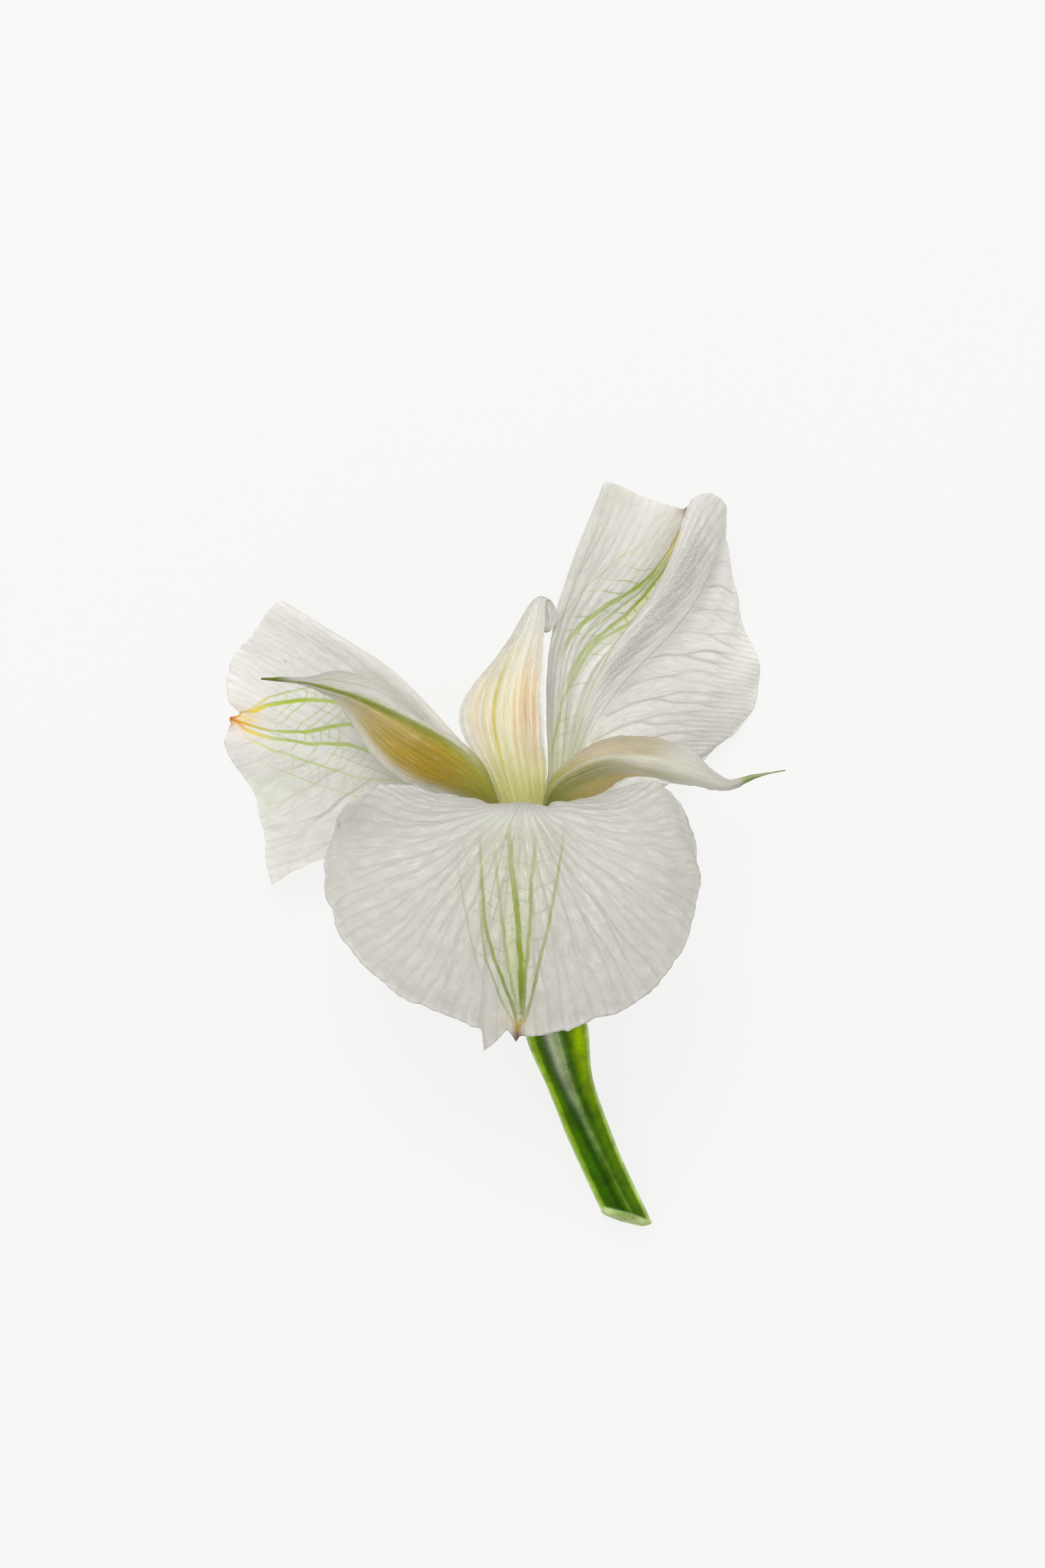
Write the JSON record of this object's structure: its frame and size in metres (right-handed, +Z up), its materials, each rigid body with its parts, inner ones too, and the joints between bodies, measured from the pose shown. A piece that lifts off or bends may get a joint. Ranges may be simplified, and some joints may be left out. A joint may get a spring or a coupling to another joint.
{
  "type": "alstroemeria flower",
  "caption": "White alstroemeria blossom cut with a short ribbed stalk: broad veined outer tepals, narrow cusped inner tepals, stamens and a style in the throat.",
  "frame": {"origin": "middle of the footprint on the surface the flower lies on", "axes": "+Z up from the surface, +Y from the stalk towards the back of the blossom, +X to the right of the blossom as seen from above"},
  "size_m": [0.0678, 0.0906, 0.0283],
  "materials": {
    "outer_tepal": "satin, thin and translucent, with green and grey veins",
    "inner_tepal": "satin, thin and translucent, flushed yellow and ochre",
    "stalk": "waxy green, ribbed",
    "stamen": "matt",
    "style": "matt"
  },
  "bodies": {
    "root": {"stalk_with_ovary": "stalk", "outer_tepal_front": "outer_tepal", "outer_tepal_left": "outer_tepal", "outer_tepal_right": "outer_tepal", "inner_tepal_back": "inner_tepal", "inner_tepal_left": "inner_tepal", "inner_tepal_right": "inner_tepal", "stamen_1": "stamen", "stamen_2": "stamen", "stamen_3": "stamen", "stamen_4": "stamen", "stamen_5": "stamen", "stamen_6": "stamen", "style": "style"}
  },
  "joints": []
}
